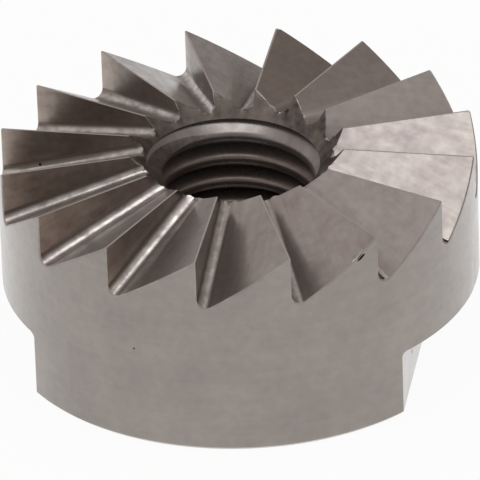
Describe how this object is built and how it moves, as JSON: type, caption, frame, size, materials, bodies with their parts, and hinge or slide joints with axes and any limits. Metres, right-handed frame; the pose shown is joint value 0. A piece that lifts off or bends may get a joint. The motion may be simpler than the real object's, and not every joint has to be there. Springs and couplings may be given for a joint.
{
  "type": "tap reseating cutter",
  "caption": "Round steel face cutter with radial saw teeth, a conical recess, a threaded through bore and spanner flats, for dressing a worn tap seat.",
  "frame": {"origin": "centre of the back face, on the axis of the bore", "axes": "+Z along the bore towards the cutting edges, X square to the spanner flats"},
  "size_m": [0.027, 0.027, 0.012],
  "materials": {
    "hardened_steel": "fine ground and hardened, satin"
  },
  "bodies": {
    "root": {"reseating_cutter": "hardened_steel"}
  },
  "joints": []
}
